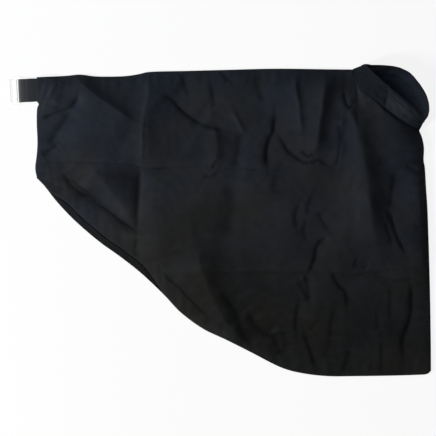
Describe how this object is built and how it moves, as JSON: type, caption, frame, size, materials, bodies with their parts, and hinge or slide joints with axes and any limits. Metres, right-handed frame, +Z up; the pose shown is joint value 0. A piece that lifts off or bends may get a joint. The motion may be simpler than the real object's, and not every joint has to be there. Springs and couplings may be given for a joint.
{
  "type": "leaf vacuum collection bag",
  "caption": "Slack cloth collection bag of a garden leaf vacuum, lying flat, with an open hemmed collar at one corner and a webbing tab with a metal buckle at the other.",
  "frame": {"origin": "on the ground, below the middle of the bag's bounding box as it lies flat", "axes": "+X along the bag from the strap end to the collar end, +Y across it towards the top seam, +Z up, away from the ground"},
  "size_m": [0.6944, 0.5124, 0.0477],
  "materials": {
    "bag_cloth": "dark charcoal woven polyester",
    "band_cloth": "dark charcoal woven tape",
    "collar_cloth": "dark charcoal woven polyester",
    "webbing": "dark grey ribbed webbing",
    "buckle_metal": "bright nickel-plated wire"
  },
  "bodies": {
    "root": {"lower_panel": "bag_cloth", "upper_panel": "bag_cloth", "edge_band": "band_cloth", "collar": "collar_cloth", "strap_tab": "webbing", "buckle": "buckle_metal"}
  },
  "joints": []
}
